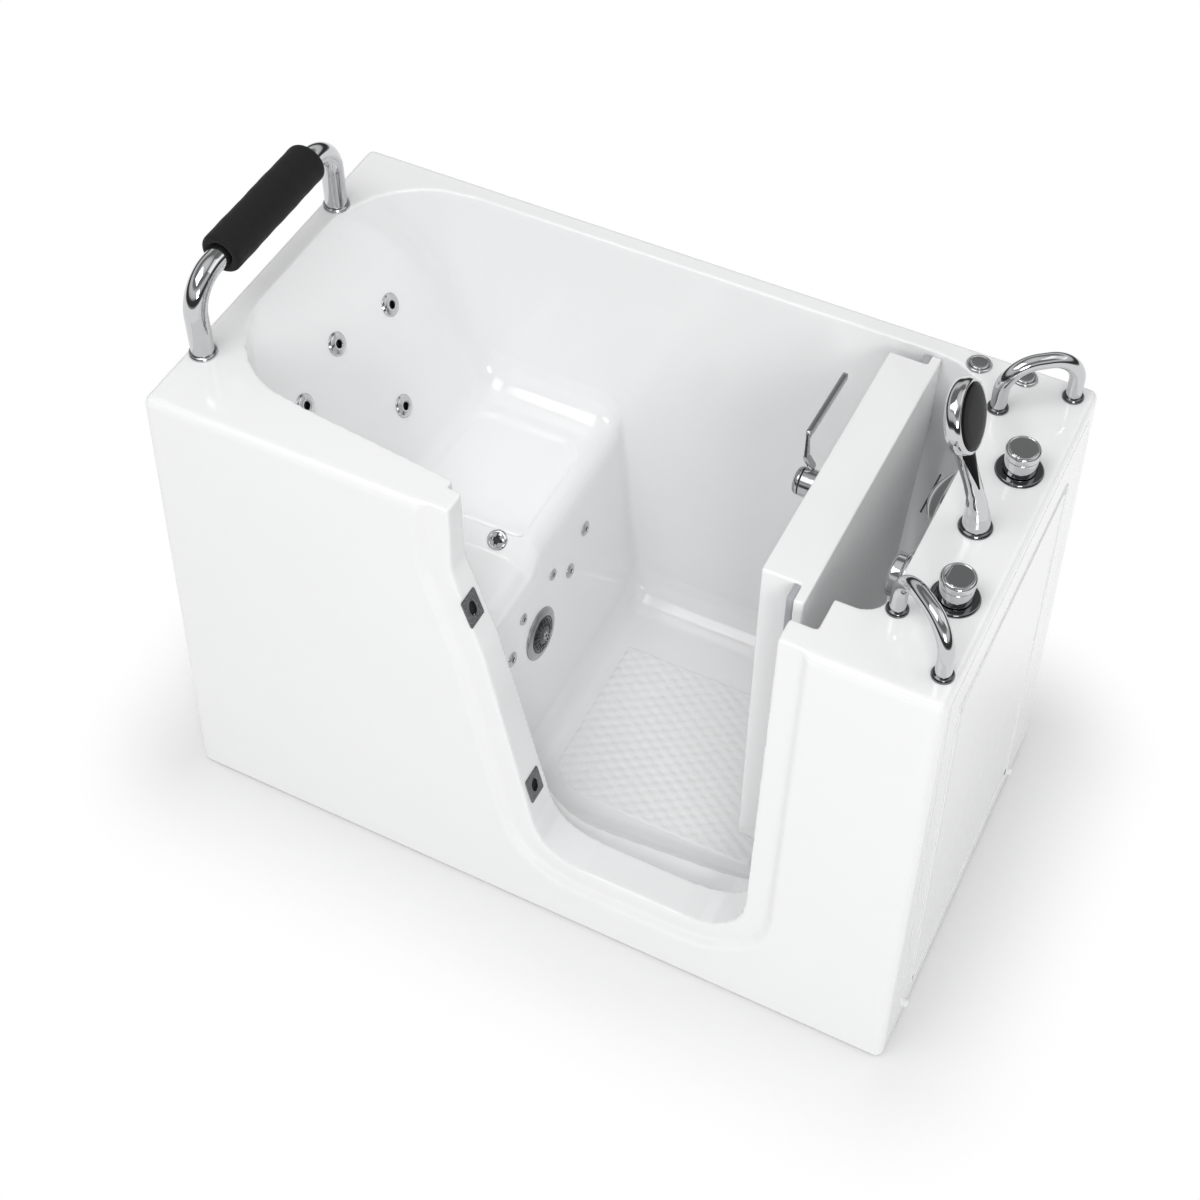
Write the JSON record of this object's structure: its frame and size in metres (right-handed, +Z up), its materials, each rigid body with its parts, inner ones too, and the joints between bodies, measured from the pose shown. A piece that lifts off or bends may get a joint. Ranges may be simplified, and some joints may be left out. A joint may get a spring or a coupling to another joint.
{
  "type": "walk-in bathtub with door",
  "caption": "Deep white walk-in bathtub with a moulded seat, jets, deck taps, grab rails, neck rest bar and an inward-swinging latched side door.",
  "frame": {"origin": "on the floor under the middle of the tub, at the underside of the centre levelling foot", "axes": "+X along the tub to the tap deck, -Y to the door side, +Z up"},
  "size_m": [1.3521, 0.7478, 1.1923],
  "materials": {
    "gelcoat": "gloss",
    "chrome": "polished",
    "steel": "satin",
    "seal": "matte",
    "foam": "matte",
    "black_plastic": "satin",
    "grey_plastic": "satin",
    "pipe_plastic": "satin",
    "pump_paint": "satin",
    "brass": "satin"
  },
  "bodies": {
    "tub": {"basin_shell": "gelcoat", "front_apron": "gelcoat", "back_skirt": "gelcoat", "left_skirt": "gelcoat", "end_skirt": "gelcoat", "skirt_caps": "gelcoat", "jamb_hinge_leaves": "steel", "hinge_pins": "steel", "striker_upper": "chrome", "striker_lower": "chrome", "front_rail": "chrome", "back_rail": "chrome", "rail_rings": "chrome", "neck_bar": "chrome", "neck_rings": "chrome", "neck_sleeve": "foam", "deck_nuts": "steel", "tap_rings": "chrome", "tap_valves": "brass", "shower_socket": "chrome", "spout": "chrome", "button_rings": "chrome", "overflow_ring": "chrome", "overflow_pipe": "pipe_plastic", "drain_body": "chrome", "drain_trap": "pipe_plastic", "back_jets": "grey_plastic", "riser_jets": "grey_plastic", "star_jet": "grey_plastic", "jet_bodies": "pipe_plastic", "suction_cover": "grey_plastic", "suction_body": "pipe_plastic", "pump": "pump_paint", "air_blower": "pump_paint", "pipework": "pipe_plastic", "steel_frame": "steel", "levelling_feet": "steel"},
    "door": {"door_shell": "gelcoat", "door_liner": "gelcoat", "door_seal": "seal", "door_hinge_leaves": "steel", "latch_housing": "chrome", "bolt_guides": "black_plastic"},
    "lever": {"latch_spindle": "steel", "latch_lever": "chrome", "latch_cap": "chrome"},
    "latch_bar": {"drive_bar": "steel"},
    "upper_bolt": {"bolt_upper": "steel"},
    "lower_bolt": {"bolt_lower": "steel"},
    "hot_tap": {"hot_knob": "chrome"},
    "cold_tap": {"cold_knob": "chrome"},
    "hand_shower": {"shower_body": "chrome", "shower_back": "black_plastic", "shower_grip": "black_plastic"},
    "front_button": {"button_front": "chrome"},
    "back_button": {"button_back": "chrome"},
    "overflow_turn": {"overflow_knob": "chrome"},
    "plug": {"drain_plug": "chrome"},
    "panel": {"access_panel": "gelcoat", "panel_screws": "chrome"}
  },
  "joints": [
    {"name": "door_swing", "type": "hinge", "parent": "tub", "child": "door", "pos_m": [0.42, -0.247, 0.49], "axis": [0, 0, 1], "range_deg": [0, 90]},
    {"name": "lever_turn", "type": "hinge", "parent": "door", "child": "lever", "pos_m": [0.33, 0.012, 0.866], "axis": [1, 0, 0], "range_deg": [-90, 0]},
    {"name": "latch_bar_slide", "type": "slide", "parent": "door", "child": "latch_bar", "axis": [0, 0, 1], "range_m": [-0.03121, 0]},
    {"name": "upper_bolt_slide", "type": "slide", "parent": "door", "child": "upper_bolt", "axis": [0, 1, 0], "range_m": [0, 0.0221]},
    {"name": "lower_bolt_slide", "type": "slide", "parent": "door", "child": "lower_bolt", "axis": [0, 1, 0], "range_m": [0, 0.0221]},
    {"name": "hot_turn", "type": "hinge", "parent": "tub", "child": "hot_tap", "pos_m": [0.596, 0.12199, 0.928], "axis": [0, 0, 1], "range_deg": [0, 90]},
    {"name": "cold_turn", "type": "hinge", "parent": "tub", "child": "cold_tap", "pos_m": [0.596, -0.15001, 0.928], "axis": [0, 0, 1], "range_deg": [-90, 0]},
    {"name": "hand_shower_lift", "type": "slide", "parent": "tub", "child": "hand_shower", "axis": [0, 0, 1], "range_m": [0, 0.12]},
    {"name": "front_button_press", "type": "slide", "parent": "tub", "child": "front_button", "axis": [0, 0, -1], "range_m": [0, 0.003], "stiffness_N_per_m": 900},
    {"name": "back_button_press", "type": "slide", "parent": "tub", "child": "back_button", "axis": [0, 0, -1], "range_m": [0, 0.003], "stiffness_N_per_m": 900},
    {"name": "overflow_knob_turn", "type": "hinge", "parent": "tub", "child": "overflow_turn", "pos_m": [0.5141, -0.10499, 0.878], "axis": [-0.9998, 0, 0.018], "range_deg": [0, 90]},
    {"name": "plug_lift", "type": "slide", "parent": "tub", "child": "plug", "axis": [0, 0, 1], "range_m": [0, 0.00801]},
    {"name": "panel_lift_off", "type": "slide", "parent": "tub", "child": "panel", "axis": [1, 0, 0], "range_m": [0, 0.15]}
  ],
  "couplings": [
    {"joint": "latch_bar_slide", "follows": "lever_turn", "m_per_rad": 0.019807},
    {"joint": "upper_bolt_slide", "follows": "lever_turn", "m_per_rad": -0.014006},
    {"joint": "lower_bolt_slide", "follows": "lever_turn", "m_per_rad": -0.014006},
    {"joint": "plug_lift", "follows": "overflow_knob_turn", "m_per_rad": 0.005093}
  ]
}
